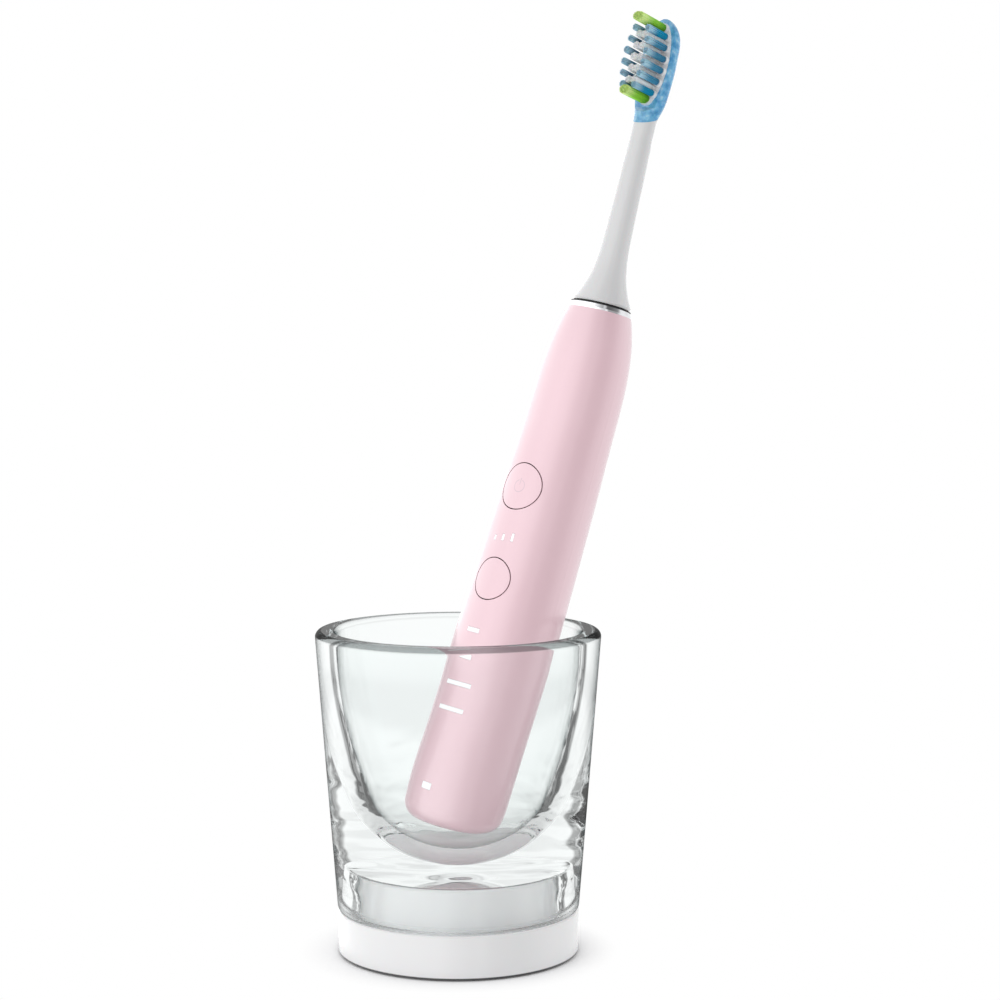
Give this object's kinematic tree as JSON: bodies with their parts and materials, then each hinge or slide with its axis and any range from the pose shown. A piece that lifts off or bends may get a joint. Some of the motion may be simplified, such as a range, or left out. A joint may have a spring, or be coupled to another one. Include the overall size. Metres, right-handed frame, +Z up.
{
  "type": "electric toothbrush on charger",
  "caption": "Electric toothbrush with a pink handle and round-bristle head, leaning in a thick clear glass on a round white charging base.",
  "frame": {"origin": "centre of the foot pad's underside, on the surface the base stands on", "axes": "+Z up; -Y towards the front of the base, with the cord inlet at +Y; the brush leans towards +X and +Y"},
  "size_m": [0.1048, 0.0806, 0.2663],
  "materials": {
    "white_gloss": "glossy",
    "grey_plastic": "matte",
    "black_plastic": "matte",
    "steel": "satin",
    "grey_rubber": "matte",
    "black_rubber": "matte",
    "circuit_board": "satin",
    "ferrite": "matte",
    "copper": "satin",
    "clear_glass": "clear, polished",
    "pink_pearl": "satin pearl",
    "bright_chrome": "mirror bright",
    "alloy": "satin",
    "bronze": "satin",
    "white_lens": "satin",
    "battery_sleeve": "glossy",
    "blue_cover": "glossy, a little translucent",
    "blue_bristle": "satin",
    "white_bristle": "satin",
    "green_bristle": "satin"
  },
  "bodies": {
    "charger": {"base_cover": "white_gloss", "base_plate": "grey_plastic", "base_screws": "steel", "foot_pad": "grey_rubber", "cord_gland": "grey_rubber", "charger_board": "circuit_board", "charger_core": "ferrite", "coil_bobbin": "black_plastic", "charger_coil": "copper", "charger_components": "black_plastic"},
    "glass": {"charging_glass": "clear_glass"},
    "handle": {"handle_shell": "pink_pearl", "end_cap": "pink_pearl", "cap_seal": "black_rubber", "chrome_ring": "bright_chrome", "nose_seal": "black_rubber", "drive_housing": "alloy", "front_bearing": "bronze", "rear_bearing": "bronze", "stator_core": "steel", "stator_coil": "copper", "front_damper": "grey_rubber", "rear_damper": "grey_rubber", "inner_frame": "grey_plastic", "control_board": "circuit_board", "tact_switches": "black_plastic", "indicator_lamps": "white_lens", "level_lights": "white_lens", "mode_lights": "white_lens", "charge_light": "white_lens", "battery_cell": "battery_sleeve", "battery_tabs": "steel", "receiver_spool": "black_plastic", "receiver_coil": "copper", "receiver_core": "ferrite"},
    "drive": {"drive_shaft": "steel", "armature": "steel", "drive_magnets": "ferrite", "torsion_bar": "steel"},
    "power_button": {"power_button": "pink_pearl"},
    "mode_button": {"mode_button": "pink_pearl"},
    "brush_head": {"neck": "white_gloss", "coupling_sleeve": "grey_plastic", "tag_coil": "copper", "head_cover": "blue_cover", "tuft_plate": "white_gloss", "blue_tufts": "blue_bristle", "white_tufts": "white_bristle", "green_tufts": "green_bristle"}
  },
  "joints": [
    {"name": "glass_lift", "type": "slide", "parent": "charger", "child": "glass", "axis": [0, 0, 1], "range_m": [0, 0.03]},
    {"name": "handle_lift", "type": "slide", "parent": "glass", "child": "handle", "axis": [0, 0, 1], "range_m": [0, 0.08]},
    {"name": "drive_oscillation", "type": "hinge", "parent": "handle", "child": "drive", "pos_m": [0.04147, 0.02403, 0.18239], "axis": [0.2343, 0.0854, 0.9684], "range_deg": [-5.5, 5.5], "stiffness_Nm_per_rad": 0.02},
    {"name": "head_pull", "type": "slide", "parent": "drive", "child": "brush_head", "axis": [0.2343, 0.0854, 0.9684], "range_m": [0, 0.035]},
    {"name": "power_press", "type": "slide", "parent": "handle", "child": "power_button", "axis": [0.6197, 0.7247, -0.3013], "range_m": [0, 0.0005], "stiffness_N_per_m": 600},
    {"name": "mode_press", "type": "slide", "parent": "handle", "child": "mode_button", "axis": [0.6197, 0.7247, -0.3013], "range_m": [0, 0.0005], "stiffness_N_per_m": 600}
  ]
}
